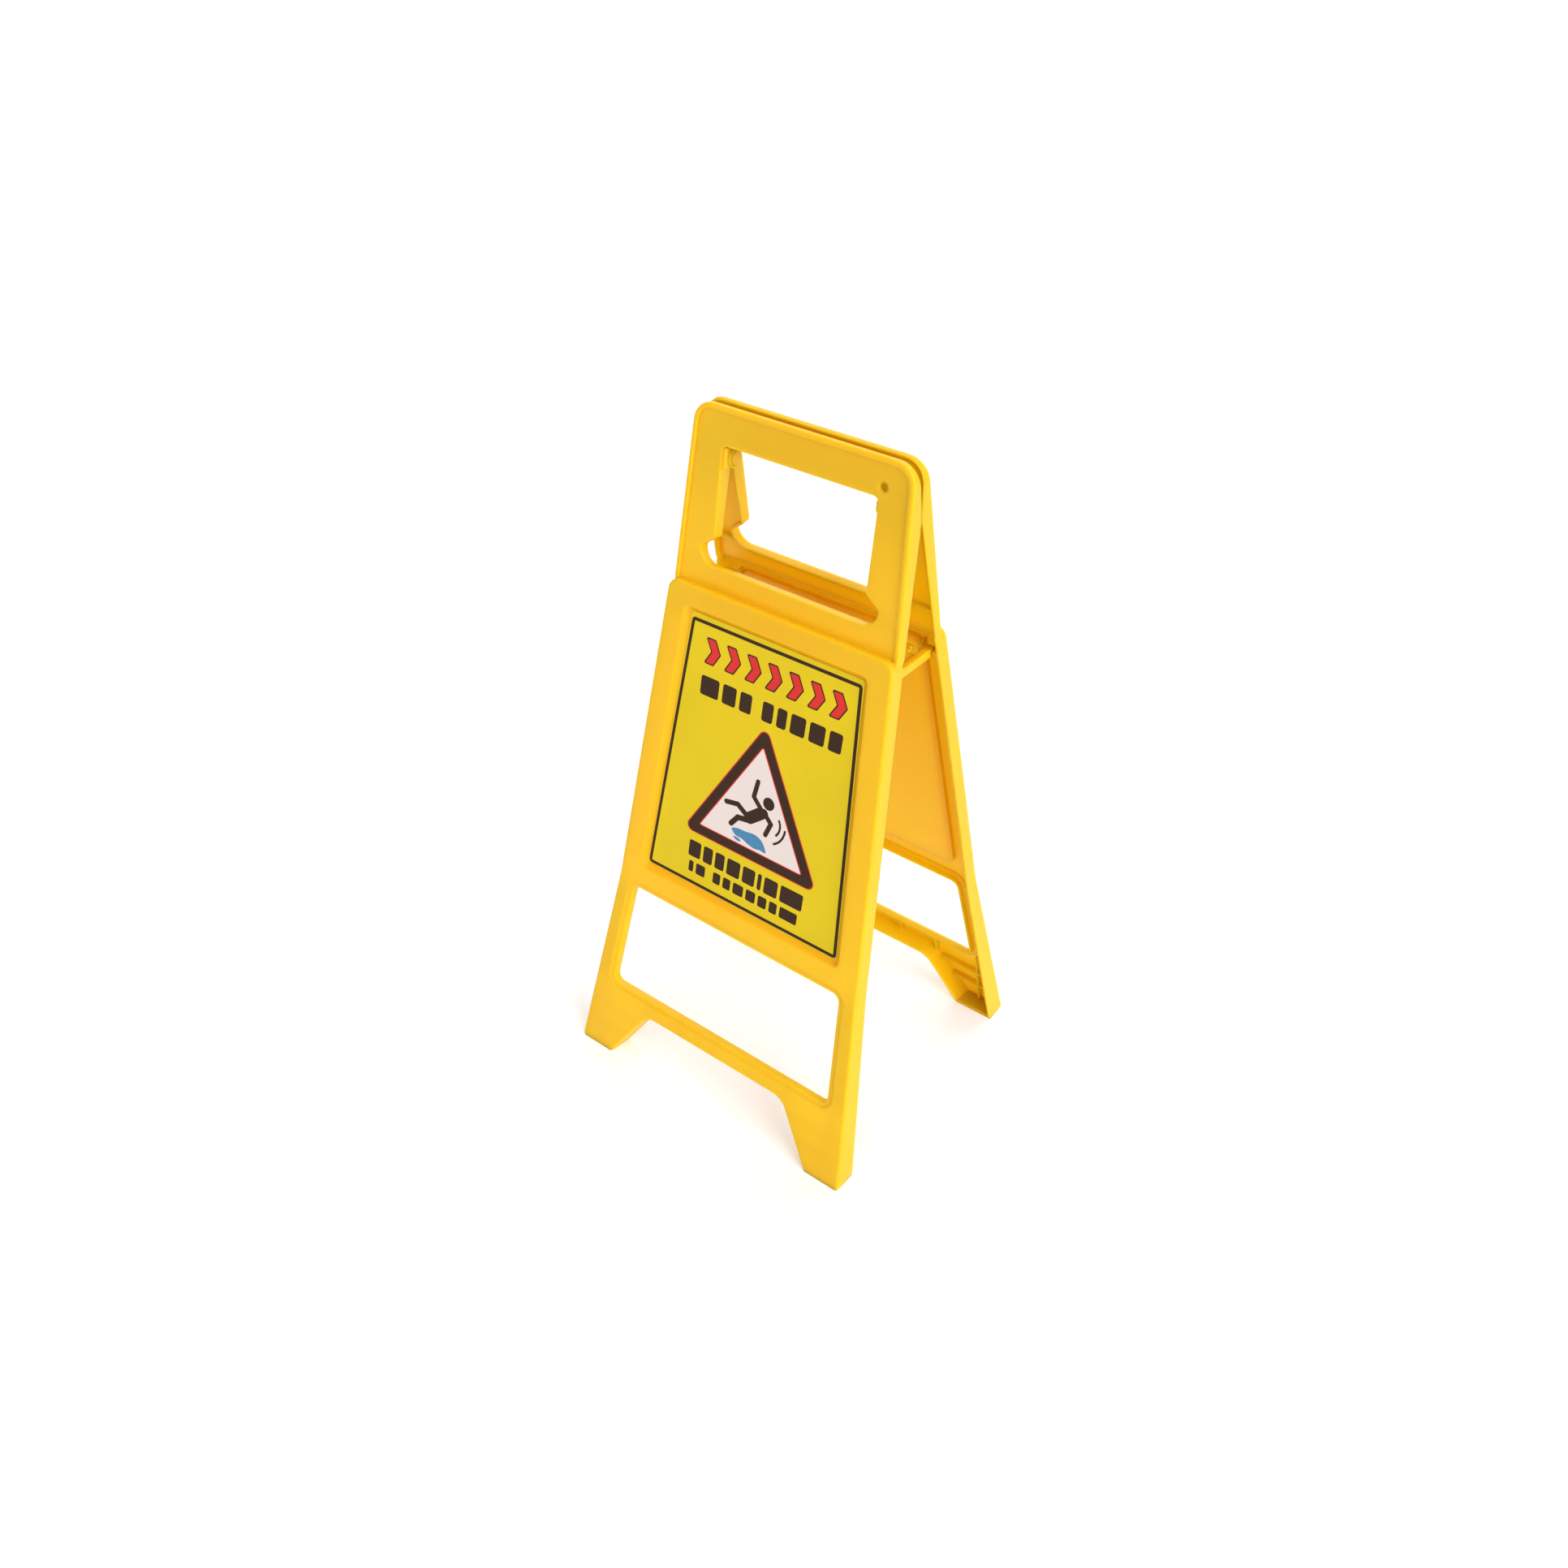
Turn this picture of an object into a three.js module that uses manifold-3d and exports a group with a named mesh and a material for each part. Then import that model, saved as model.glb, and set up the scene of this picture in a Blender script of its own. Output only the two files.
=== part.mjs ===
import * as THREE from 'three';
import { mergeVertices } from 'three/addons/utils/BufferGeometryUtils.js';
import Module from 'manifold-3d';

// Folding A-frame floor sign, in millimetres. It stands open on the floor at z = 0, its two
// faces look along -Y and +Y, and the origin lies on the floor midway between the four feet.
// Both panels are the same moulding, turned half round. A panel is drawn flat: u runs across
// it, v up along it from the floor, and w outwards from the plane in which the panels meet.

const wasm = await Module();
wasm.setup();

// Panel outline
const lean = THREE.MathUtils.degToRad(11.6);
const footWidth = 300;
const topHeight = 620;
const kneeHeight = 182;
const kneeInset = 19.5;
const shoulderDrop = 147;
const shoulderInset = 40.8;
const topInset = 49.7;
const footRadius = 8;
const kneeRadius = 120;
const shoulderRadius = 10.5;
const topRadius = 17.5;

// Panel moulding
const lowerDepth = 14.6;
const upperDepth = 8.5;
const footSwell = 7.5;
const topSwell = 8;
const topGap = 3.6;
const swellRise = 6;
const wall = 2.2;
const faceDrop = 2;
const beadWidth = 4.4;
const lowerEdgeRadius = 1.9;
const upperEdgeRadius = 1.5;
const ribThickness = 1.7;
const rimDepth = 8.2;

// Feet and crossbar
const archHeight = 52.4;
const archRadius = 17.5;
const archTopInset = 72;
const footLength = 39.5;
const footPad = 2.4;
const footRibHeights = [23, 43];
const footRibInset = 21.5;
const crossbarRibSpacing = 41;

// Lower window
const windowBottom = 70.5;
const windowTop = 177;
const legTopWidth = 17.6;
const legBottomWidth = 19.6;
const windowRadius = 7.8;
const lipWidth = 5;
const lipDrop = 1.5;
const lipSlope = 1.2;
const legRibSpacing = 26;
const railInset = 7.8;

// Handle window, with the wide slot along its bottom
const handleTopMargin = 30.5;
const handleSideMargin = 28;
const sillHeight = 18;
const slotHeight = 15;
const slotSlope = 9;
const slotSideMargin = 24;
const handleRadius = 5;
const slotRadius = 13.5;
const sideRibRise = 5;
const holeRise = 8;
const holeOutset = 2.2;
const holeRadius = 2.9;
const dishRadius = 5.6;
const dishDepth = 1.4;

// Label and its recess
const ledgeToRecess = 17.5;
const windowToRecess = 23.3;
const recessMargin = 20.5;
const recessRadius = 7.5;
const recessDepth = 4.9;
const recessBevel = 4;
const labelThickness = 0.4;
const labelMargin = 1.2;

// Hinge at the top corners of the handle window
const hingeDrop = 10;
const hingeHalfGap = 0.3;
const pinRadius = 6.1;
const pinChamfer = 0.7;
const pinProud = 0.8;
const shankRadius = 4.3;
const barbRadius = 5.3;
const barbThickness = 1.8;
const clipInset = 1.6;
const clipThickness = 3.6;
const clipRing = 1.8;
const clipMouth = THREE.MathUtils.degToRad(92);
const earThickness = 3.2;
const earRing = 1.8;

// Spreader and the four bars that carry it
const barDrop = 20;
const barSeat = 3.2;
const barRadius = 2.3;
const lugInset = 20;
const lugBelow = 3.4;
const lugAbove = 4.2;
const armThickness = 6.5;
const armHeight = 7;
const armInset = 5;
const eyeRing = 1.9;
const eyeMouth = THREE.MathUtils.degToRad(80);
const catchRing = 1.3;
const catchOuterLean = THREE.MathUtils.degToRad(18);
const catchInnerLean = THREE.MathUtils.degToRad(52);
const webThickness = 2.4;
const webMargin = 1.4;
const webSetback = 6.4;
const bridgeSetback = 14;
const ridgeHeight = 2.2;
const ridgeWidth = 3;
const ridgePlaceShares = [0, 0.34, 0.67, 1];

const clearance = 0.3;
const overrun = 4;
const arcSteps = 6;
const smallest = 0.02;

// Heights and widths that follow from these
const kneeWidth = footWidth - 2 * kneeInset;
const shoulderHeight = topHeight - shoulderDrop;
const shoulderWidth = footWidth - 2 * shoulderInset;
const topWidth = footWidth - 2 * topInset;
const archTopWidth = footWidth - 2 * archTopInset;
const archFootWidth = footWidth - 2 * footLength;
const windowBottomWidth = 2 * (halfWidthAt(windowBottom) - legBottomWidth);
const windowTopWidth = 2 * (halfWidthAt(windowTop) - legTopWidth);
const recessBottom = windowTop + windowToRecess;
const recessTop = shoulderHeight - ledgeToRecess;
const recessBottomWidth = 2 * (halfWidthAt(recessBottom) - recessMargin);
const recessTopWidth = 2 * (halfWidthAt(recessTop) - recessMargin);
const handleBottom = shoulderHeight + sillHeight;
const slotTop = handleBottom + slotHeight;
const slotShoulder = slotTop + slotSlope;
const handleTop = topHeight - handleTopMargin;
const handleWidth = topWidth - 2 * handleSideMargin;
const slotWidth = shoulderWidth - 2 * slotSideMargin;
const sideRibHeight = handleBottom + sideRibRise;
const holeHeight = handleTop + holeRise;
const holeOffset = handleWidth / 2 + holeOutset;
const hingeHeight = handleTop - hingeDrop;
const barHeight = shoulderHeight - barDrop;

// The face stands out more towards the foot, from above the knee, and from the shoulder to the top
const footDepth = lowerDepth + footSwell;
const swellHeight = kneeHeight + swellRise;
const footSlope = footSwell / swellHeight;
const topSlope = topSwell / shoulderDrop;

// Levels inside a panel: walls and ribs end half a wall under the face, inside its sheet
const faceLevel = upperDepth - faceDrop;
const upperSeat = faceLevel - wall / 2;
const lowerSeat = lowerDepth - wall / 2;
const rimLevel = lowerDepth - rimDepth;
const recessFloor = lowerDepth - recessDepth;

function between(place, from, to, first, last) {
  return THREE.MathUtils.mapLinear(place, from, to, first, last);
}

function halfWidthAt(height) {
  if (height < kneeHeight) return between(height, 0, kneeHeight, footWidth, kneeWidth) / 2;
  if (height < shoulderHeight) return between(height, kneeHeight, shoulderHeight, kneeWidth, shoulderWidth) / 2;
  return between(height, shoulderHeight, topHeight, shoulderWidth, topWidth) / 2;
}

function archHalfWidthAt(height) {
  return between(height, 0, archHeight, archFootWidth, archTopWidth) / 2;
}

// An outline is a list of corners [x, y, radius], anticlockwise, and moving it in shrinks it
function movedIn(corners, distance) {
  const count = corners.length;
  const edges = corners.map((corner, i) => {
    const next = corners[(i + 1) % count];
    const along = new THREE.Vector2(next[0] - corner[0], next[1] - corner[1]).normalize();
    const inward = new THREE.Vector2(-along.y, along.x);
    return { start: new THREE.Vector2(corner[0], corner[1]).addScaledVector(inward, distance), along };
  });
  return corners.map((corner, i) => {
    const before = edges[(i + count - 1) % count];
    const after = edges[i];
    const turn = before.along.cross(after.along);
    const reach = after.start.clone().sub(before.start).cross(after.along) / turn;
    const point = before.start.clone().addScaledVector(before.along, reach);
    const radius = Math.max(corner[2] - Math.sign(turn) * distance, 0);
    return [point.x, point.y, radius];
  });
}

function outline(corners) {
  const shape = new THREE.Shape();
  const count = corners.length;
  corners.forEach(([x, y, radius], i) => {
    const here = new THREE.Vector2(x, y);
    const before = corners[(i + count - 1) % count];
    const after = corners[(i + 1) % count];
    const back = new THREE.Vector2(before[0] - x, before[1] - y).normalize();
    const ahead = new THREE.Vector2(after[0] - x, after[1] - y).normalize();
    const half = Math.acos(back.dot(ahead)) / 2;
    const reach = radius / Math.tan(half);
    const first = here.clone().addScaledVector(back, reach);
    if (i === 0) shape.moveTo(first.x, first.y);
    else shape.lineTo(first.x, first.y);
    if (radius === 0) return;
    const last = here.clone().addScaledVector(ahead, reach);
    const inward = back.clone().add(ahead).normalize();
    const middle = here.clone().addScaledVector(inward, radius / Math.sin(half));
    const clockwise = ahead.cross(back) < 0;
    shape.absarc(middle.x, middle.y, radius, first.sub(middle).angle(), last.sub(middle).angle(), clockwise);
  });
  shape.closePath();
  return shape;
}

function polygon(points) {
  return new THREE.Shape(points.map(([x, y]) => new THREE.Vector2(x, y)));
}

function disc(x, y, radius) {
  return new THREE.Shape().absarc(x, y, radius, 0, 2 * Math.PI, false);
}

// An open ring that snaps over a round bar; its mouth is centred on the direction it faces
function clip(x, y, inner, outer, mouth, facing) {
  const from = facing + mouth / 2;
  const to = facing + 2 * Math.PI - mouth / 2;
  const shape = new THREE.Shape();
  shape.absarc(x, y, outer, from, to, false);
  shape.absarc(x, y, inner, to, from, true);
  shape.closePath();
  return shape;
}

function solid(geometry) {
  geometry.deleteAttribute('normal');
  geometry.deleteAttribute('uv');
  const merged = mergeVertices(geometry);
  const vertProperties = Float32Array.from(merged.attributes.position.array);
  const triVerts = Uint32Array.from(merged.index.array);
  return new wasm.Manifold(new wasm.Mesh({ numProp: 3, vertProperties, triVerts }));
}

function geometryOf(body) {
  const mesh = body.getMesh();
  const geometry = new THREE.BufferGeometry();
  geometry.setAttribute('position', new THREE.BufferAttribute(Float32Array.from(mesh.vertProperties), 3));
  geometry.setIndex(new THREE.BufferAttribute(Uint32Array.from(mesh.triVerts), 1));
  geometry.computeVertexNormals();
  return geometry;
}

function block(x0, x1, y0, y1, z0, z1) {
  const geometry = new THREE.BoxGeometry(x1 - x0, y1 - y0, z1 - z0);
  geometry.translate((x0 + x1) / 2, (y0 + y1) / 2, (z0 + z1) / 2);
  return solid(geometry);
}

function mirrored(body) {
  return body.add(body.mirror([1, 0, 0]));
}

// A plate with a drawn outline, from one depth to another
function plate(corners, from, to) {
  const settings = { depth: to - from, bevelEnabled: false, curveSegments: arcSteps };
  return solid(new THREE.ExtrudeGeometry(outline(corners), settings).translate(0, 0, from));
}

// A profile drawn in y and z, run along x
function across(profile, from, to) {
  const settings = { depth: to - from, bevelEnabled: false, curveSegments: 2 * arcSteps };
  const geometry = new THREE.ExtrudeGeometry(profile, settings);
  geometry.applyMatrix4(new THREE.Matrix4().set(0, 0, 1, from, 1, 0, 0, 0, 0, 1, 0, 0, 0, 0, 0, 1));
  return solid(geometry);
}

// A full block with its outer edge rounded over
function blank(corners, depth, radius) {
  const geometry = new THREE.ExtrudeGeometry(outline(corners), {
    depth,
    bevelThickness: radius,
    bevelSize: radius,
    bevelOffset: -radius,
    bevelSegments: 2,
    curveSegments: arcSteps,
  });
  geometry.translate(0, 0, -radius);
  return solid(geometry).subtract(block(-footWidth, footWidth, -topHeight, 2 * topHeight, -depth, 0));
}

// A cutter that narrows towards its floor
function recess(corners, floor, top, slope) {
  const geometry = new THREE.ExtrudeGeometry(outline(corners), {
    depth: overrun,
    bevelThickness: top - floor,
    bevelSize: slope,
    bevelOffset: -slope,
    bevelSegments: 1,
    curveSegments: arcSteps,
  });
  const above = block(-footWidth, footWidth, -topHeight, 2 * topHeight, top + overrun, 2 * lowerDepth + overrun);
  return solid(geometry.translate(0, 0, top)).subtract(above);
}

// What lies over the seat level moves outwards with the face, and the inner side stays flat
function swollen(body, slope, height) {
  return body.warp((point) => {
    if (point[2] > wall) point[2] += slope * (point[1] - height);
  });
}

function towardsFoot(body) {
  return swollen(body, -footSlope, swellHeight);
}

function towardsTop(body) {
  return swollen(body, topSlope, shoulderHeight);
}

// A body that reaches over the height at which its face turns outwards
function bent(body) {
  const [over, under] = body.splitByPlane([0, 1, 0], swellHeight);
  return over.add(towardsFoot(under));
}

function taper(bottom, bottomWidth, top, width, radius) {
  return [
    [-bottomWidth / 2, bottom, radius],
    [bottomWidth / 2, bottom, radius],
    [width / 2, top, radius],
    [-width / 2, top, radius],
  ];
}

function lowerCorners() {
  const bottom = -2 * footDepth * Math.tan(lean);
  return [
    [-halfWidthAt(bottom), bottom, footRadius],
    [-archHalfWidthAt(bottom), bottom, footRadius],
    [-archTopWidth / 2, archHeight, archRadius],
    [archTopWidth / 2, archHeight, archRadius],
    [archHalfWidthAt(bottom), bottom, footRadius],
    [halfWidthAt(bottom), bottom, footRadius],
    [kneeWidth / 2, kneeHeight, kneeRadius],
    [shoulderWidth / 2, shoulderHeight, shoulderRadius],
    [-shoulderWidth / 2, shoulderHeight, shoulderRadius],
    [-kneeWidth / 2, kneeHeight, kneeRadius],
  ];
}

function upperCorners() {
  const start = shoulderHeight - 2 * shoulderRadius;
  const side = halfWidthAt(start) - 2 * wall;
  return [
    [-side, start, 0],
    [side, start, 0],
    [shoulderWidth / 2, shoulderHeight, 0],
    [topWidth / 2, topHeight, topRadius],
    [-topWidth / 2, topHeight, topRadius],
    [-shoulderWidth / 2, shoulderHeight, 0],
  ];
}

function handleCorners() {
  return [
    [-slotWidth / 2, handleBottom, slotRadius],
    [slotWidth / 2, handleBottom, slotRadius],
    [slotWidth / 2, slotTop, wall],
    [handleWidth / 2, slotShoulder, wall],
    [handleWidth / 2, handleTop, handleRadius],
    [-handleWidth / 2, handleTop, handleRadius],
    [-handleWidth / 2, slotShoulder, wall],
    [-slotWidth / 2, slotTop, wall],
  ];
}

// Everything in a panel that lies lower than a height over the floor when the sign is open
function underLevel(height) {
  const deep = footDepth + overrun;
  const level = height / Math.cos(lean);
  const slope = Math.tan(lean);
  const points = [
    [level + slope * overrun, -overrun],
    [level - slope * deep, deep],
    [-footWidth, deep],
    [-footWidth, -overrun],
  ];
  return across(polygon(points), -footWidth, footWidth);
}

// The wedge off the inner side above the hinge, which leaves a gap between the tops when the
// sign is open
function topRelief() {
  const end = topHeight + overrun;
  const rise = (end - hingeHeight) * Math.tan(lean) + topGap;
  const points = [[hingeHeight, 0], [hingeHeight, -overrun], [end, -overrun], [end, rise]];
  return across(polygon(points), -footWidth, footWidth);
}

// Upright ribs in the crossbar and the feet, cut off at the outline
function uprightRibs() {
  const half = ribThickness / 2;
  const high = windowBottom - wall / 2;
  const inFoot = footWidth / 2 - footRibInset;
  let ribs = mirrored(block(inFoot - half, inFoot + half, 0, high, rimLevel, lowerSeat));
  for (let u = 0; u < archFootWidth / 2; u += crossbarRibSpacing) {
    ribs = ribs.add(mirrored(block(u - half, u + half, 0, high, rimLevel, lowerSeat)));
  }
  return ribs.intersect(plate(movedIn(lowerCorners(), wall / 2), 0, lowerDepth));
}

function legRibs() {
  const half = ribThickness / 2;
  const rails = plate(movedIn(lowerCorners(), railInset), rimLevel, lowerSeat)
    .subtract(plate(movedIn(lowerCorners(), railInset + ribThickness), -overrun, lowerDepth))
    .intersect(mirrored(block(archTopWidth / 2, footWidth, windowBottom, windowTop, 0, lowerDepth)));
  let ribs = rails;
  for (let v = windowBottom + legRibSpacing / 2; v < windowTop; v += legRibSpacing) {
    const side = halfWidthAt(v);
    const rung = block(side - railInset - half, side - wall / 2, v - half, v + half, rimLevel, lowerSeat);
    ribs = ribs.add(mirrored(rung));
  }
  for (const v of footRibHeights) {
    const from = archHalfWidthAt(v) + wall / 2;
    const rung = block(from, halfWidthAt(v) - wall / 2, v - half, v + half, rimLevel, lowerSeat);
    ribs = ribs.add(mirrored(rung));
  }
  return ribs;
}

function sideRibs() {
  const low = sideRibHeight - ribThickness / 2;
  const to = halfWidthAt(sideRibHeight) - wall / 2;
  return mirrored(block(slotWidth / 2 + wall / 2, to, low, low + ribThickness, 0, upperSeat));
}

// Two round bars under the shoulder, each between a lug and the side wall
function spreaderBars() {
  const side = halfWidthAt(barHeight);
  const face = side - lugInset;
  const low = barHeight - lugBelow;
  const lug = block(face, face + wall, low, barHeight + lugAbove, barSeat - barRadius, lowerSeat);
  return mirrored(lug.add(across(disc(barHeight, barSeat, barRadius), face, side - wall / 2)));
}

// The open ring on the left wall of the handle window, on a block that stands on the wall
function hingeClip() {
  const root = -handleWidth / 2;
  const end = root + clipInset + clipThickness;
  const bore = pinRadius + clearance;
  const reach = bore + clipRing;
  const foot = polygon([
    [hingeHeight - reach, 0],
    [hingeHeight + reach, 0],
    [hingeHeight + reach, upperSeat],
    [hingeHeight - reach, upperSeat],
  ]);
  const ring = clip(hingeHeight, -hingeHalfGap, bore, reach, clipMouth, -Math.PI / 2);
  return towardsTop(across(foot, root - wall / 2, root + 2 * clipInset))
    .subtract(topRelief())
    .subtract(across(disc(hingeHeight, -hingeHalfGap, bore + clearance), root, end + overrun))
    .add(across(ring, root + clipInset, end));
}

// The eye that carries the pin, behind the right wall of the handle window
function hingeEar() {
  const from = handleWidth / 2 + wall + clearance;
  const reach = shankRadius + clearance + earRing;
  const foot = polygon([
    [hingeHeight - reach, -hingeHalfGap],
    [hingeHeight + reach, -hingeHalfGap],
    [hingeHeight + reach, upperSeat],
    [hingeHeight - reach, upperSeat],
  ]);
  const eye = across(disc(hingeHeight, -hingeHalfGap, reach), from, from + earThickness);
  return towardsTop(across(foot, from, from + earThickness)).add(eye);
}

// The way that a pin takes through either side wall of the handle window, and through the eye
function pinWays() {
  const profile = disc(hingeHeight, -hingeHalfGap, shankRadius + clearance);
  const far = handleWidth / 2 + wall + clearance + earThickness + overrun;
  return mirrored(across(profile, handleWidth / 2 - clipInset / 2, far));
}

function panel() {
  const recessCorners = taper(recessBottom, recessBottomWidth, recessTop, recessTopWidth, recessRadius);
  const windowCorners = taper(windowBottom, windowBottomWidth, windowTop, windowTopWidth, windowRadius);
  const lipCorners = movedIn(windowCorners, -lipWidth);
  const lipFloor = lowerDepth - lipDrop;
  const upper = blank(upperCorners(), upperDepth, upperEdgeRadius)
    .subtract(plate(movedIn(upperCorners(), beadWidth), faceLevel, upperDepth + overrun));
  const upperHollow = plate(movedIn(upperCorners(), wall), -overrun, faceLevel - wall);
  const lowerHollow = bent(plate(movedIn(lowerCorners(), wall), -overrun, lowerDepth - wall));
  return towardsTop(upper)
    .add(bent(blank(lowerCorners(), lowerDepth, lowerEdgeRadius)))
    .subtract(towardsTop(upperHollow))
    .subtract(lowerHollow.subtract(underLevel(footPad)))
    .add(plate(movedIn(recessCorners, -wall), recessFloor - wall, lowerSeat))
    .add(towardsFoot(plate(movedIn(windowCorners, -wall), rimLevel, lowerSeat)))
    .add(towardsFoot(plate(movedIn(lipCorners, -wall), lipFloor - wall, lowerSeat)))
    .add(towardsTop(plate(movedIn(handleCorners(), -wall), 0, upperSeat)))
    .add(towardsFoot(uprightRibs()))
    .add(towardsFoot(legRibs()))
    .add(towardsTop(sideRibs()))
    .add(spreaderBars())
    .subtract(recess(recessCorners, recessFloor, lowerDepth, recessBevel))
    .subtract(towardsFoot(recess(lipCorners, lipFloor, lowerDepth, lipSlope)))
    .subtract(towardsFoot(plate(windowCorners, -overrun, lowerDepth + overrun)))
    .subtract(plate(handleCorners(), -overrun, lowerDepth + overrun))
    .subtract(drilledHole())
    .subtract(topRelief())
    .subtract(underLevel(0))
    .add(hingeClip())
    .add(hingeEar())
    .subtract(pinWays())
    .asOriginal()
    .simplify(smallest);
}

// The hole runs through the sheet, in the middle of a shallow dish
function drilledHole() {
  const shape = disc(holeOffset, holeHeight, holeRadius);
  const settings = { depth: lowerDepth, bevelEnabled: false, curveSegments: 2 * arcSteps };
  const dish = new THREE.CylinderGeometry(dishRadius, holeRadius, dishDepth + clearance, 4 * arcSteps);
  dish.rotateX(Math.PI / 2).translate(holeOffset, holeHeight, faceLevel + (clearance - dishDepth) / 2);
  return solid(new THREE.ExtrudeGeometry(shape, settings)).add(towardsTop(solid(dish)));
}

function labelSheet() {
  const corners = taper(recessBottom, recessBottomWidth, recessTop, recessTopWidth, recessRadius);
  const from = recessFloor + clearance;
  return plate(movedIn(corners, recessBevel + labelMargin), from, from + labelThickness);
}

// A snap-in pin: its wide end turns in the clip, and its barb holds behind the eye
function hingePin() {
  const wallFace = handleWidth / 2;
  const end = wallFace - clipInset - clipThickness - pinProud;
  const eyeBack = wallFace + wall + clearance + earThickness + clearance;
  const profile = [
    [0, end],
    [pinRadius - pinChamfer, end],
    [pinRadius, end + pinChamfer],
    [pinRadius, wallFace - clearance],
    [shankRadius, wallFace - clearance],
    [shankRadius, eyeBack],
    [barbRadius, eyeBack],
    [shankRadius - pinChamfer, eyeBack + barbThickness],
    [0, eyeBack + barbThickness],
  ];
  const points = profile.map(([radius, place]) => new THREE.Vector2(radius, place));
  return solid(new THREE.LatheGeometry(points, 4 * arcSteps).rotateZ(-Math.PI / 2));
}

// The spreader is drawn open: y runs from its pivot bars at 0 to the catch bars at -span
const barOffset = (hingeHeight - barHeight) * Math.sin(lean) + (hingeHalfGap + barSeat) * Math.cos(lean);
const span = 2 * barOffset;
const barLevel = barHeight * Math.cos(lean) + barSeat * Math.sin(lean);
const armEnd = halfWidthAt(barHeight) - wall - armInset;

function spreaderArm() {
  const bore = barRadius + clearance;
  const eye = bore + eyeRing;
  const nose = bore + catchRing;
  const half = armHeight / 2;
  const top = nose + overrun;
  const beam = polygon([[-span, -half], [-eye / 2, -half], [-eye / 2, half], [-span, half]]);
  const ring = clip(0, 0, bore, eye, eyeMouth, -Math.PI / 4);
  const cup = polygon([
    [-span - bore, 0],
    [-span + bore, 0],
    [-span + bore + top * Math.tan(catchInnerLean), top],
    [-span - bore + top * Math.tan(catchOuterLean), top],
  ]);
  const from = armEnd - armThickness;
  return across(beam, from, armEnd)
    .add(across(disc(-span, 0, nose), from, armEnd))
    .subtract(across(disc(0, 0, bore), from - overrun, armEnd + overrun))
    .add(across(ring, from, armEnd))
    .subtract(across(disc(-span, 0, bore), from - overrun, armEnd + overrun))
    .subtract(across(cup, from - overrun, armEnd + overrun));
}

function spreader() {
  const webEnd = halfWidthAt(barHeight) - lugInset - webMargin;
  const bridgeEnd = armEnd - armThickness / 2;
  const half = webThickness / 2;
  let body = block(-webEnd, webEnd, webSetback - span, -webSetback, -half, half);
  body = body.add(block(-bridgeEnd, bridgeEnd, bridgeSetback - span, -bridgeSetback, -half, half));
  for (const share of ridgePlaceShares) {
    const inset = webSetback + ridgeWidth / 2;
    const y = THREE.MathUtils.lerp(-inset, inset - span, share);
    body = body.add(block(-webEnd, webEnd, y - ridgeWidth / 2, y + ridgeWidth / 2, 0, half + ridgeHeight));
  }
  return body.add(mirrored(spreaderArm()));
}

function piece(name, body, colour, roughness) {
  const material = new THREE.MeshStandardMaterial({ color: colour, roughness, metalness: 0 });
  const mesh = new THREE.Mesh(geometryOf(body), material);
  mesh.name = name;
  return mesh;
}

const yellow = 0xf2b21f;
const labelYellow = 0xe6d21e;
const sign = new THREE.Group();

// A panel stands in a group that leans, within a group that faces the front or the rear
function leaning(turn) {
  const frame = new THREE.Group();
  frame.rotation.x = Math.PI / 2 - lean;
  frame.position.y = -hingeHeight * Math.sin(lean) - hingeHalfGap * Math.cos(lean);
  const side = new THREE.Group();
  side.rotation.z = turn;
  side.add(frame);
  sign.add(side);
  return frame;
}

function addPin(frame, name) {
  const pin = piece(name, hingePin(), yellow, 0.4);
  pin.position.set(0, hingeHeight, -hingeHalfGap);
  frame.add(pin);
}

const front = leaning(0);
front.add(piece('front_panel', panel(), yellow, 0.42));
front.add(piece('front_label', labelSheet(), labelYellow, 0.5));
addPin(front, 'right_hinge_pin');

const rear = leaning(Math.PI);
rear.add(piece('rear_panel', panel(), yellow, 0.42));
addPin(rear, 'left_hinge_pin');

const flap = piece('spreader', spreader(), yellow, 0.42);
flap.position.set(0, barOffset, barLevel);
sign.add(flap);

export default sign;
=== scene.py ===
import math
import bpy
from mathutils import Matrix, Vector


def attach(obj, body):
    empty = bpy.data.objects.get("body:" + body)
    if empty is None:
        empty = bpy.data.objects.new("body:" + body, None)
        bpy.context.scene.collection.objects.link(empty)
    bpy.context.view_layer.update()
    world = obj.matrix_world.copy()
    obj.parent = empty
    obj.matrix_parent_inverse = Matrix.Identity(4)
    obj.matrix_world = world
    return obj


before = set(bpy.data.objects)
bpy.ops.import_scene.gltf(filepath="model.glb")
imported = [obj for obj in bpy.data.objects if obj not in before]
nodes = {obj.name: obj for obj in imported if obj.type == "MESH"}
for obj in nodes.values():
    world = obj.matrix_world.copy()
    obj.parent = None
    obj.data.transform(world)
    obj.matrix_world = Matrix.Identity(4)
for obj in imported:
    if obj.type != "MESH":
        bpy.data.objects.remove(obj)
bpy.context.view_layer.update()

white = (1, 1, 1, 1)

# The front panel's own frame: u across it, v up along it from the floor, w out of its face
panel = {"lean": math.radians(11.6), "hingeHeight": 0.5795, "halfGap": 0.0003}


def panelMatrix():
    s, c = math.sin(panel["lean"]), math.cos(panel["lean"])
    footReach = panel["hingeHeight"] * s + panel["halfGap"] * c
    return Matrix(((1, 0, 0, 0), (0, s, -c, -footReach), (0, c, s, 0), (0, 0, 0, 1)))


# Camera as in the photo, from a fit to the panel edges and the label corners.
# The focal length, the offset and the frame are in the photo's pixels.
view = {
    "place": (0.580817, -0.789994, 1.016001),
    "yaw": -0.623476, "pitch": -0.609046, "roll": 0.026375,
    "focal": 1750.412, "offset": (36.548, -53.802), "frame": 1932.0,
    "sensor": 36.0, "clip": (0.01, 100),
}


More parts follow.
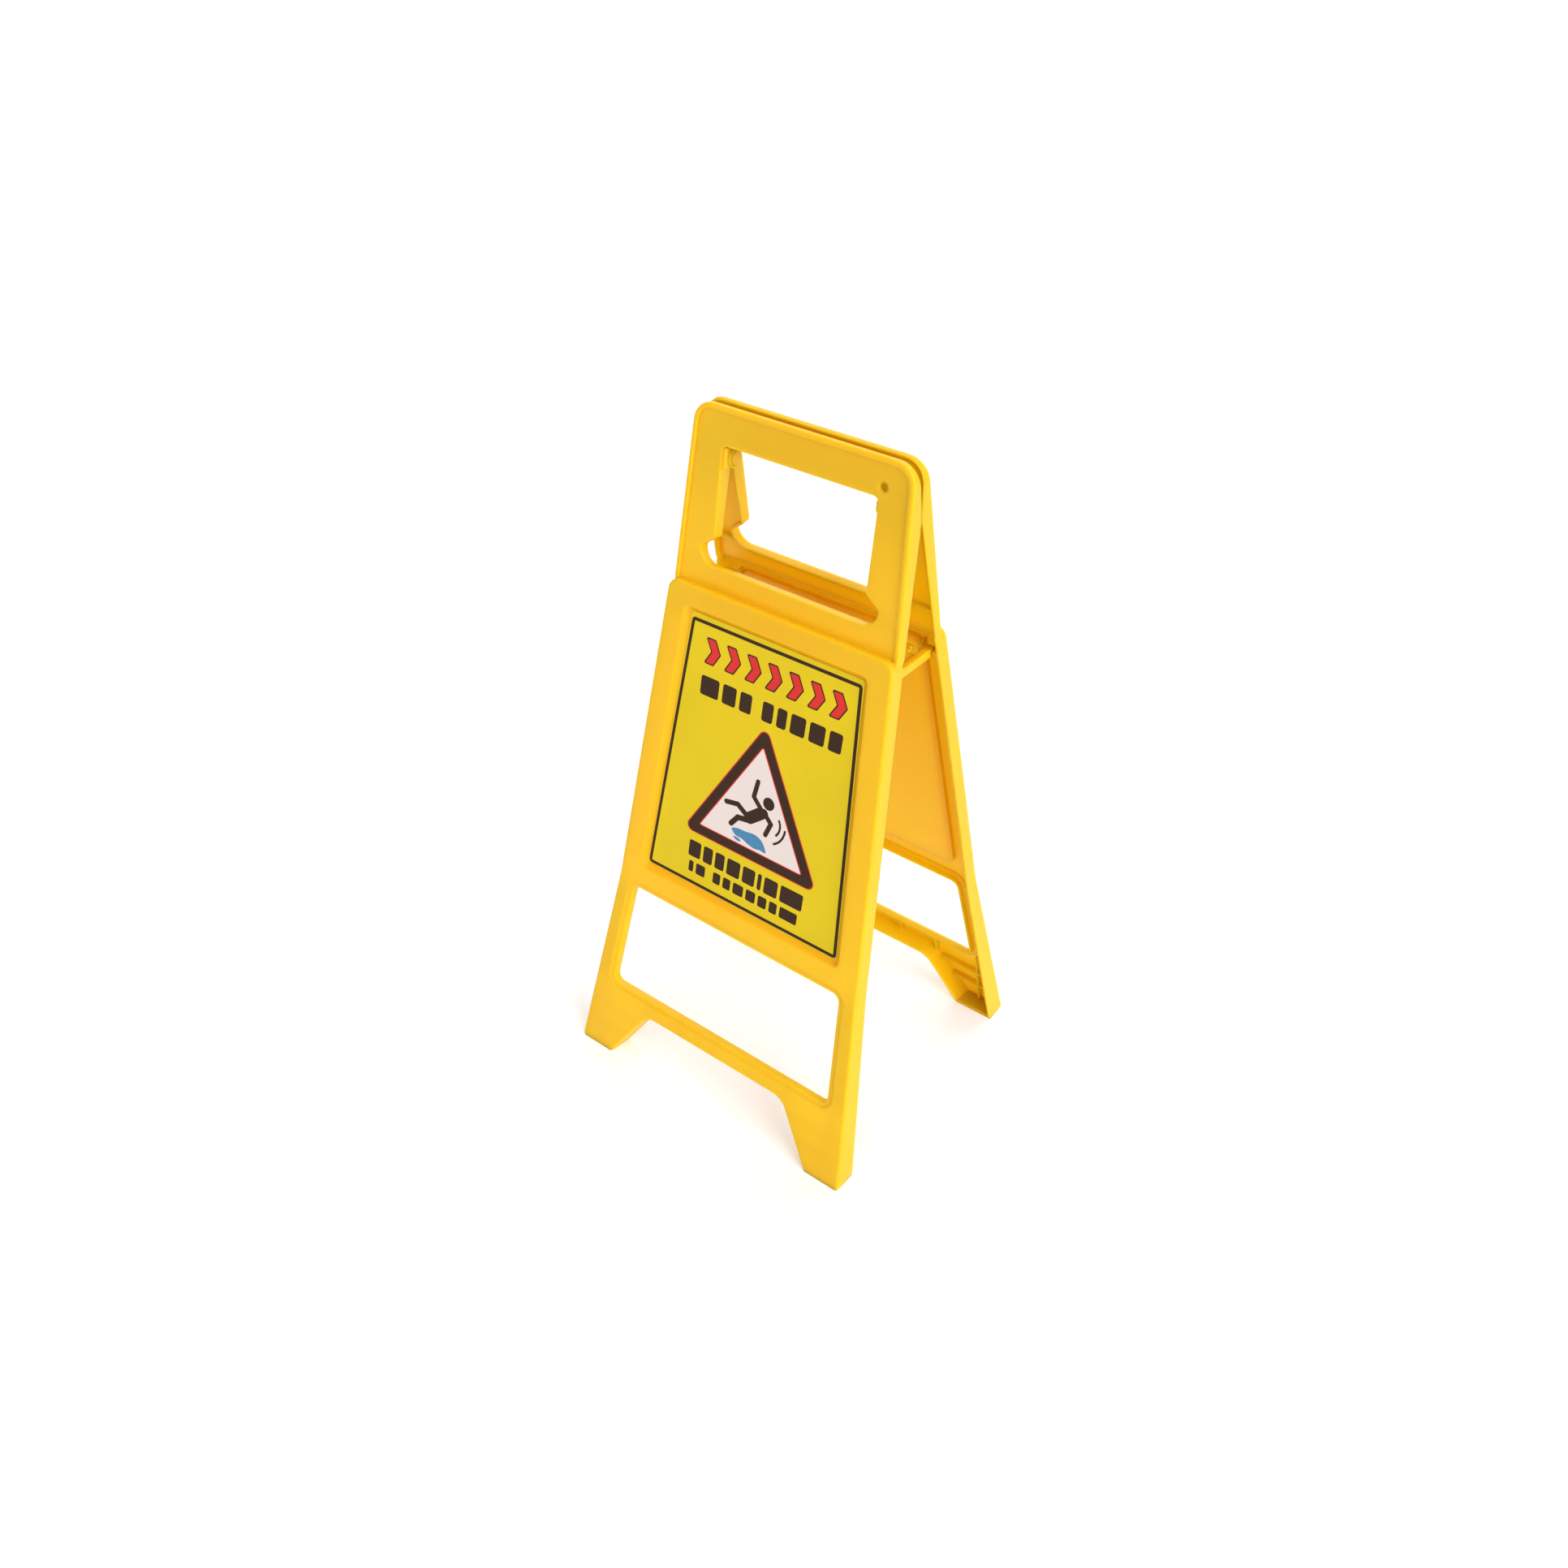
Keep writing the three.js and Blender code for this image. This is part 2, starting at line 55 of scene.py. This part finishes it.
def addCamera():
    yaw, pitch, roll = view["yaw"], view["pitch"], view["roll"]
    ahead = Vector((math.sin(yaw) * math.cos(pitch), math.cos(yaw) * math.cos(pitch), math.sin(pitch)))
    right = Vector((math.cos(yaw), -math.sin(yaw), 0))
    up = right.cross(ahead)
    across = math.cos(roll) * right + math.sin(roll) * up
    upright = -math.sin(roll) * right + math.cos(roll) * up
    lens = bpy.data.cameras.new("camera")
    lens.sensor_width = view["sensor"]
    lens.lens = view["focal"] / view["frame"] * view["sensor"]
    lens.shift_x = -view["offset"][0] / view["frame"]
    lens.shift_y = view["offset"][1] / view["frame"]
    lens.clip_start, lens.clip_end = view["clip"]
    camera = bpy.data.objects.new("camera", lens)
    bpy.context.scene.collection.objects.link(camera)
    turn = Matrix((across, upright, -ahead)).transposed().to_4x4()
    camera.matrix_world = Matrix.Translation(view["place"]) @ turn
    bpy.context.scene.camera = camera


addCamera()

# Even daylight from all round, a wide soft sun from the upper right, and two fainter ones
studio = {
    "sky": 0.45,
    "floorColour": (0.88, 0.88, 0.88, 1), "floorRoughness": 0.9, "floorLift": 0.18, "floorSize": 80.0,
    # each sun's name, the way towards it, its strength and how many degrees wide it is
    "suns": [
        ("upper right sun", (0.84, -0.20, 0.50), 2.4, 40.0),
        ("upper front sun", (0.05, -0.75, 0.66), 0.55, 60.0),
        ("upper rear sun", (-0.25, 0.76, 0.60), 1.5, 70.0),
    ],
}


def addFloor():
    bpy.ops.object.select_all(action="DESELECT")
    bpy.ops.mesh.primitive_plane_add(size=studio["floorSize"], location=(0, 0, 0))
    floor = bpy.context.active_object
    floor.name = "floor"
    finish = bpy.data.materials.new("pale floor")
    finish.use_nodes = True
    tree = finish.node_tree
    shader = tree.nodes["Principled BSDF"]
    shader.inputs["Base Color"].default_value = studio["floorColour"]
    shader.inputs["Roughness"].default_value = studio["floorRoughness"]
    shader.inputs["Specular IOR Level"].default_value = 0.0
    # the camera alone sees the floor lifted to white, and the shadow stays on it
    path = tree.nodes.new("ShaderNodeLightPath")
    lift = tree.nodes.new("ShaderNodeMath")
    lift.operation = "MULTIPLY"
    lift.inputs[1].default_value = studio["floorLift"]
    tree.links.new(path.outputs["Is Camera Ray"], lift.inputs[0])
    tree.links.new(lift.outputs[0], shader.inputs["Emission Strength"])
    shader.inputs["Emission Color"].default_value = white
    floor.data.materials.append(finish)


def addSky():
    # the camera sees plain white, and the object is lit by the sky's own strength
    world = bpy.data.worlds.new("daylight")
    bpy.context.scene.world = world
    world.use_nodes = True
    tree = world.node_tree
    sky = tree.nodes["Background"]
    sky.inputs["Color"].default_value = white
    sky.inputs["Strength"].default_value = studio["sky"]
    backdrop = tree.nodes.new("ShaderNodeBackground")
    backdrop.inputs["Color"].default_value = white
    path = tree.nodes.new("ShaderNodeLightPath")
    mix = tree.nodes.new("ShaderNodeMixShader")
    tree.links.new(path.outputs["Is Camera Ray"], mix.inputs["Fac"])
    tree.links.new(sky.outputs[0], mix.inputs[1])
    tree.links.new(backdrop.outputs[0], mix.inputs[2])
    tree.links.new(mix.outputs[0], tree.nodes["World Output"].inputs["Surface"])


def addSuns():
    for name, towards, strength, spread in studio["suns"]:
        sun = bpy.data.lights.new(name, "SUN")
        sun.energy, sun.angle = strength, math.radians(spread)
        holder = bpy.data.objects.new(name, sun)
        bpy.context.scene.collection.objects.link(holder)
        holder.rotation_euler = Vector(towards).to_track_quat("Z", "Y").to_euler()


addFloor()
addSky()
addSuns()
print("camera, floor and light set")


def newFinish(name):
    finish = bpy.data.materials.new(name)
    finish.use_nodes = True
    tree = finish.node_tree
    return finish, tree, tree.nodes["Principled BSDF"], tree.nodes.new("ShaderNodeTexCoord")


def addNoise(tree, place, scale, detail, roughness, stretch=None):
    source = place.outputs["Object"]
    if stretch:
        mapping = tree.nodes.new("ShaderNodeMapping")
        mapping.inputs["Scale"].default_value = stretch
        tree.links.new(source, mapping.inputs["Vector"])
        source = mapping.outputs["Vector"]
    noise = tree.nodes.new("ShaderNodeTexNoise")
    noise.inputs["Scale"].default_value = scale
    noise.inputs["Detail"].default_value = detail
    noise.inputs["Roughness"].default_value = roughness
    tree.links.new(source, noise.inputs["Vector"])
    return noise.outputs["Fac"]


def addRamp(tree, factor, stops):
    ramp = tree.nodes.new("ShaderNodeValToRGB")
    ramp.color_ramp.elements[0].position, ramp.color_ramp.elements[0].color = stops[0]
    ramp.color_ramp.elements[1].position, ramp.color_ramp.elements[1].color = stops[-1]
    for position, colour in stops[1:-1]:
        ramp.color_ramp.elements.new(position).color = colour
    tree.links.new(factor, ramp.inputs["Fac"])
    return ramp.outputs["Color"]


def addRange(tree, value, low, high, first, last):
    # a value that goes from low to high becomes one that goes from first to last
    scaled = tree.nodes.new("ShaderNodeMapRange")
    for socket, number in (("From Min", low), ("From Max", high), ("To Min", first), ("To Max", last)):
        scaled.inputs[socket].default_value = number
    tree.links.new(value, scaled.inputs["Value"])
    return scaled.outputs[0]


def addProduct(tree, first, second):
    product = tree.nodes.new("ShaderNodeMath")
    product.operation = "MULTIPLY"
    tree.links.new(first, product.inputs[0])
    tree.links.new(second, product.inputs[1])
    return product.outputs[0]


def mixColours(tree, factor, first, second):
    # on a colour mix, sockets 0, 6 and 7 are the factor and the colours, and output 2 is the colour
    mix = tree.nodes.new("ShaderNodeMix")
    mix.data_type = "RGBA"
    tree.links.new(factor, mix.inputs[0])
    tree.links.new(first, mix.inputs[6])
    mix.inputs[7].default_value = second
    return mix.outputs[2]


def addGrain(tree, source, shader, strength, depth, normal=None):
    bump = tree.nodes.new("ShaderNodeBump")
    bump.inputs["Strength"].default_value = strength
    bump.inputs["Distance"].default_value = depth
    tree.links.new(source, bump.inputs["Height"])
    if normal:
        tree.links.new(normal, bump.inputs["Normal"])
    tree.links.new(bump.outputs["Normal"], shader.inputs["Normal"])


# A noise is its scale, detail, roughness and stretch. A range is what it reads and what it gives.
plastic = {
    "flow": (6.0, 4.0, 0.55, (1.0, 1.0, 0.45)),
    "colours": [
        (0.30, (0.885, 0.450, 0.005, 1)),
        (0.50, (0.895, 0.478, 0.006, 1)),
        (0.72, (0.905, 0.506, 0.008, 1)),
    ],
    "scuff": (0.975, 0.66, 0.10, 1),
    "scratches": (170.0, 2.0, 0.6, (1.0, 1.0, 0.08)), "scratchRange": (0.70, 0.78, 0.0, 1.0),
    "handling": (18.0, 3.0, 0.65), "handledRange": (0.58, 0.76, 0.0, 0.16),
    "glossRange": (0.35, 0.68, 0.33, 0.44), "refraction": 1.49, "shine": 0.25,
    "dust": (0.72, 0.46, 0.09, 1), "dustHeight": (0.0, 0.022, 0.22, 0.0),
    "dustClouds": (90.0, 4.0, 0.7), "dustRange": (0.45, 0.70, 0.0, 1.0),
    "clearness": 1.0, "depth": 0.008, "depthByColour": (1.0, 1.0, 0.2),
    "edgeRadius": 0.0024, "edgeSamples": 8,
    "grain": (900.0, 2.0, 0.5), "grainStrength": 0.3, "grainDepth": 0.00002,
}


def panelPlastic():
    finish, tree, shader, place = newFinish("yellow moulded plastic")
    base = addRamp(tree, addNoise(tree, place, *plastic["flow"]), plastic["colours"])
    # faint scratches where hands and stacking rub
    scratch = addNoise(tree, place, *plastic["scratches"])
    rubbed = addNoise(tree, place, *plastic["handling"])
    scratched = addRange(tree, scratch, *plastic["scratchRange"])
    handled = addRange(tree, rubbed, *plastic["handledRange"])
    worn = mixColours(tree, addProduct(tree, scratched, handled), base, plastic["scuff"])
    # a little dust low on the feet
    split = tree.nodes.new("ShaderNodeSeparateXYZ")
    tree.links.new(place.outputs["Object"], split.inputs[0])
    low = addRange(tree, split.outputs["Z"], *plastic["dustHeight"])
    dusty = addRange(tree, addNoise(tree, place, *plastic["dustClouds"]), *plastic["dustRange"])
    dusted = mixColours(tree, addProduct(tree, low, dusty), worn, plastic["dust"])
    tree.links.new(dusted, shader.inputs["Base Color"])
    # satin gloss that varies a little
    tree.links.new(addRange(tree, rubbed, *plastic["glossRange"]), shader.inputs["Roughness"])
    shader.inputs["IOR"].default_value = plastic["refraction"]
    shader.inputs["Specular IOR Level"].default_value = plastic["shine"]
    # light soaks a little way in, and thin walls glow
    shader.inputs["Subsurface Weight"].default_value = plastic["clearness"]
    shader.inputs["Subsurface Radius"].default_value = plastic["depthByColour"]
    shader.inputs["Subsurface Scale"].default_value = plastic["depth"]
    # soft moulded edges and a fine grain
    edge = tree.nodes.new("ShaderNodeBevel")
    edge.samples = plastic["edgeSamples"]
    edge.inputs["Radius"].default_value = plastic["edgeRadius"]
    grain = addNoise(tree, place, *plastic["grain"])
    addGrain(tree, grain, shader, plastic["grainStrength"], plastic["grainDepth"], edge.outputs["Normal"])
    return finish


# Printed vinyl: an even colour with a slight mottle, and a fine grain in its gloss
sheet = {
    "clouds": (14.0, 3.0, 0.5), "cloudStops": (0.3, 0.7), "mottle": 0.04,
    "grain": (420.0, 2.0, 0.5), "grainStrength": 0.2, "grainDepth": 0.00001,
    "grainRange": (0.3, 0.7), "glossier": 0.04, "duller": 0.05, "shine": 0.16,
}


def sheetFinish(name, colour, roughness, mottle=sheet["mottle"]):
    finish, tree, shader, place = newFinish(name)
    darker = tuple(c * (1 - mottle) for c in colour[:3]) + (1,)
    lighter = tuple(min(c * (1 + mottle), 1) for c in colour[:3]) + (1,)
    stops = list(zip(sheet["cloudStops"], (darker, lighter)))
    mottled = addRamp(tree, addNoise(tree, place, *sheet["clouds"]), stops)
    tree.links.new(mottled, shader.inputs["Base Color"])
    fine = addNoise(tree, place, *sheet["grain"])
    least, most = roughness - sheet["glossier"], roughness + sheet["duller"]
    gloss = addRange(tree, fine, *sheet["grainRange"], least, most)
    tree.links.new(gloss, shader.inputs["Roughness"])
    shader.inputs["Specular IOR Level"].default_value = sheet["shine"]
    addGrain(tree, fine, shader, sheet["grainStrength"], sheet["grainDepth"])
    return finish


yellowPlastic = panelPlastic()
labelVinyl = sheetFinish("yellow label vinyl", (0.745, 0.545, 0.008, 1), 0.5)
darkInk = sheetFinish("dark brown ink", (0.040, 0.017, 0.007, 1), 0.55, mottle=0.1)
redInk = sheetFinish("red ink", (0.68, 0.030, 0.027, 1), 0.5)
blueInk = sheetFinish("blue ink", (0.070, 0.235, 0.415, 1), 0.5)
paleInk = sheetFinish("pale ink", (0.81, 0.695, 0.655, 1), 0.5, mottle=0.02)
for name in ("front_panel", "rear_panel", "spreader", "right_hinge_pin", "left_hinge_pin"):
    for slot in nodes[name].material_slots:
        slot.material = yellowPlastic
for slot in nodes["front_label"].material_slots:
    slot.material = labelVinyl
print("finishes made")

# The print lies on the label in thin films, one over another. Its places are in millimetres,
# across from the label's middle and up the panel. Film and clearance: a film's thickness, and
# the share of it that the first film stands off the label.
label = {"surface": 10.4, "film": 0.04, "clearance": 0.5}
millimetre = 0.001


def around(middle, radius, angle):
    return middle[0] + radius * math.cos(angle), middle[1] + radius * math.sin(angle)


def neighbours(corners, i):
    return Vector(corners[i]), Vector(corners[i - 1]), Vector(corners[(i + 1) % len(corners)])


def moved(corners, distance):
    # the corners of a shape, anticlockwise, moved in by a distance
    out = []
    for i in range(len(corners)):
        here, before, after = neighbours(corners, i)
        first, second = (here - before).normalized(), (after - here).normalized()
        first, second = Vector((-first.y, first.x)), Vector((-second.y, second.x))
        out.append(tuple(here + (first + second) * (distance / (1 + first.dot(second)))))
    return out


def rounded(corners, radius, steps=5):
    # the same shape with an arc at each corner
    points = []
    for i in range(len(corners)):
        here, before, after = neighbours(corners, i)
        back, ahead = (before - here).normalized(), (after - here).normalized()
        half = back.angle(ahead) / 2
        middle = here + (back + ahead).normalized() * (radius / math.sin(half))
        first = here + back * (radius / math.tan(half)) - middle
        last = here + ahead * (radius / math.tan(half)) - middle
        start = math.atan2(first.y, first.x)
        turn = (math.atan2(last.y, last.x) - start + math.pi) % (2 * math.pi) - math.pi
        points += [around(middle, radius, start + turn * step / steps) for step in range(steps + 1)]
    return points


def smoothLoop(corners, steps=6):
    # a smooth closed curve through the corners
    points = []
    count = len(corners)
    for i in range(count):
        a, b, c, d = (Vector(corners[(i + k) % count]) for k in (-1, 0, 1, 2))
        for step in range(steps):
            t = step / steps
            bend = (2 * a - 5 * b + 4 * c - d) * t ** 2 + (3 * b - a - 3 * c + d) * t ** 3
            points.append(tuple(0.5 * (2 * b + (c - a) * t + bend)))
    return points


def addFilm(name, points, layer, hollow=0):
    # a flat film with the outline given; hollow leaves only a line of that width along its edge
    bpy.ops.object.select_all(action="DESELECT")
    bpy.ops.mesh.primitive_circle_add(vertices=len(points), radius=1, fill_type="NGON", location=(0, 0, 0))
    piece = bpy.context.active_object
    piece.name = name
    level = label["surface"] + label["film"] * (layer + label["clearance"])
    for vertex, (x, y) in zip(piece.data.vertices, points):
        vertex.co = Vector((x, y, level)) * millimetre
    bpy.ops.object.mode_set(mode="EDIT")
    bpy.ops.mesh.select_all(action="SELECT")
    if hollow:
        bpy.ops.mesh.inset(thickness=hollow * millimetre, depth=0)
        bpy.ops.mesh.delete(type="FACE")
        bpy.ops.mesh.select_all(action="SELECT")
    bpy.ops.mesh.extrude_region_move(TRANSFORM_OT_translate={"value": (0, 0, label["film"] * millimetre)})
    bpy.ops.mesh.select_all(action="SELECT")
    bpy.ops.mesh.normals_make_consistent(inside=False)
    bpy.ops.object.mode_set(mode="OBJECT")
    return piece


def printPiece(name, films, ink):
    # films of one ink become one piece, and its place goes into the mesh
    bpy.ops.object.select_all(action="DESELECT")
    for film in films:
        film.select_set(True)
    bpy.context.view_layer.objects.active = films[0]
    if len(films) > 1:
        bpy.ops.object.join()
    piece = bpy.context.active_object
    piece.name = name
    piece.matrix_world = panelMatrix()
    bpy.ops.object.transform_apply(location=True, rotation=True, scale=True)
    piece.data.materials.clear()
    piece.data.materials.append(ink)
    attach(piece, "front")


border = {
    "top": 446.0, "bottom": 206.3, "topHalf": 84.0, "bottomHalf": 102.2,
    "width": 3.0, "radius": 3.4,
}


def addBorder():
    corners = [(-border["bottomHalf"], border["bottom"]), (border["bottomHalf"], border["bottom"]),
               (border["topHalf"], border["top"]), (-border["topHalf"], border["top"])]
    film = addFilm("border", rounded(corners, border["radius"]), 0, border["width"])
    printPiece("label_border", [film], darkInk)


addBorder()

# A dark band between two red lines, over a pale field
triangle = {
    "corners": [(-69.0, 256.2), (74.0, 255.4), (2.4, 381.0)],
    "radius": 6.0, "line": 1.0, "band": 8.5, "innerRadius": 0.6,
}


def addTriangle():
    line, band = triangle["line"], triangle["band"]
    radius, innerRadius = triangle["radius"], triangle["innerRadius"]
    films = [
        ("triangle_outer_line", 0, radius, redInk),
        ("triangle_band", line, radius - line, darkInk),
        ("triangle_inner_line", line + band, innerRadius + line, redInk),
        ("triangle_field", 2 * line + band, innerRadius, paleInk),
    ]
    for layer, (name, inset, rounding, ink) in enumerate(films):
        film = addFilm(name, rounded(moved(triangle["corners"], inset), rounding), layer)
        printPiece(name, [film], ink)


addTriangle()
print("border and triangle printed")

# A plain slipping figure in strokes (start, end, half width), with a head (middle, radius) and two
# arcs beside its hand (middle, radius, first and last angle, half width). Each stroke lies a little
# over the one before, so that no two faces share a place.
figure = {
    "strokes": [
        ((8.8, 302.5), (-1.5, 294.0), 5.4),
        ((12.0, 304.0), (3.0, 297.0), 4.2),
        ((-4.0, 294.5), (-15.1, 301.2), 2.5),
        ((-15.1, 301.2), (-27.0, 299.0), 2.3),
        ((-2.0, 291.5), (-13.3, 289.5), 2.6),
        ((-13.3, 289.5), (-19.6, 281.2), 2.4),
        ((8.6, 306.5), (-0.2, 314.6), 2.2),
        ((-0.2, 314.6), (2.0, 329.3), 2.2),
        ((13.0, 303.8), (20.2, 297.4), 2.3),
        ((20.2, 297.4), (16.2, 285.8), 2.2),
    ],
    "strokeRounding": 0.99, "strokeSteps": 6, "strokeLayer": 5, "layerStep": 0.02,
    "head": ((15.4, 314.2), 5.7), "headPoints": 40, "headLayer": 5.3,
    "arcs": [((17.6, 297.4), 12.0, -44, 36, 1.0), ((16.5, 297.0), 18.3, -62, 2, 1.0)],
    "arcSteps": 10, "arcLayer": 5.4,
}


def roundBar(start, end, half):
    a, b = Vector(start), Vector(end)
    along = (b - a).normalized() * half
    side = Vector((-along.y, along.x))
    ends = [a - along - side, b + along - side, b + along + side, a - along + side]
    corners = [tuple(end) for end in ends]
    return rounded(corners, half * figure["strokeRounding"], figure["strokeSteps"])


def arcBand(middle, radius, first, last, half):
    steps = figure["arcSteps"]
    angles = [math.radians(first + (last - first) * step / steps) for step in range(steps + 1)]
    outer = [around(middle, radius + half, angle) for angle in angles]
    inner = [around(middle, radius - half, angle) for angle in reversed(angles)]
    return outer + inner


def addFigure():
    films = []
    for i, stroke in enumerate(figure["strokes"]):
        films.append(addFilm("stroke", roundBar(*stroke), figure["strokeLayer"] + figure["layerStep"] * i))
    count = figure["headPoints"]
    head = [around(*figure["head"], 2 * math.pi * i / count) for i in range(count)]
    films.append(addFilm("head", head, figure["headLayer"]))
    films += [addFilm("arc", arcBand(*arc), figure["arcLayer"]) for arc in figure["arcs"]]
    printPiece("slipping_figure", films, darkInk)


addFigure()

puddle = {
    "layer": 4,
    "outlines": [
        [(-18, 277.0), (-13.5, 272.6), (-6, 271.8), (0, 269.6), (7, 268.4), (13, 269.4), (19.0, 269.2),
         (16.5, 275.0), (12, 279.4), (5, 281.2), (-4, 280.0), (-12, 279.6)],
        [(-15.6, 270.2), (-11, 268.2), (-7.4, 269.0), (-9.4, 270.8), (-13, 271.2)],
    ],
}


def addPuddle():
    films = [addFilm("puddle", smoothLoop(outline), puddle["layer"]) for outline in puddle["outlines"]]
    printPiece("puddle", films, blueInk)


addPuddle()
print("figure and puddle printed")

# Plain marks in rows, where a printed sign has its lines: red arrowheads and dark bars
arrowheads = {
    "count": 7, "from": -68.0, "to": 74.5, "bottom": 410.5, "top": 433.5,
    "thickness": 10.5, "point": 6.5, "line": 1.2, "radius": 1.4,
}
bars = {
    "dark_bars_upper": {
        "bottom": 383.0, "top": 400.0, "radius": 2.2,
        "spans": [(-68, -49), (-45, -31), (-27, -15), (-4, 7), (11, 20.5), (24.5, 39), (43, 58),
                  (62, 74.5)],
    },
    "dark_bars_middle": {
        "bottom": 232.5, "top": 248.0, "radius": 1.9,
        "spans": [(-60, -47), (-44, -34), (-31, -21), (-18, -4), (-1, 12), (15, 19), (22, 36),
                  (39, 62)],
    },
    "dark_bars_lower": {
        "bottom": 217.5, "top": 228.0, "radius": 1.6,
        "spans": [(-58, -53), (-50, -40), (-31, -23), (-20, -12), (-9, 2), (5, 15), (18, 27),
                  (30, 38), (41, 59)],
    },
}


def addArrowheads():
    row = arrowheads
    step = (row["to"] - row["from"] - row["thickness"] - row["point"]) / (row["count"] - 1)
    middle = (row["bottom"] + row["top"]) / 2
    dark, red = [], []
    for i in range(row["count"]):
        left = row["from"] + step * i
        right = left + row["thickness"]
        corners = [(left, row["bottom"]), (right, row["bottom"]), (right + row["point"], middle),
                   (right, row["top"]), (left, row["top"]), (left + row["point"], middle)]
        dark.append(addFilm("outline", rounded(corners, row["radius"]), 0))
        red.append(addFilm("arrowhead", rounded(moved(corners, row["line"]), row["radius"] / 2), 1))
    printPiece("arrowhead_outlines", dark, darkInk)
    printPiece("red_arrowheads", red, redInk)


def addBars():
    for name, row in bars.items():
        films = []
        for left, right in row["spans"]:
            corners = [(left, row["bottom"]), (right, row["bottom"]),
                       (right, row["top"]), (left, row["top"])]
            films.append(addFilm("bar", rounded(corners, row["radius"], steps=4), 0))
        printPiece(name, films, darkInk)


addArrowheads()
addBars()
print("rows printed")

bpy.context.scene.view_settings.view_transform = "Standard"
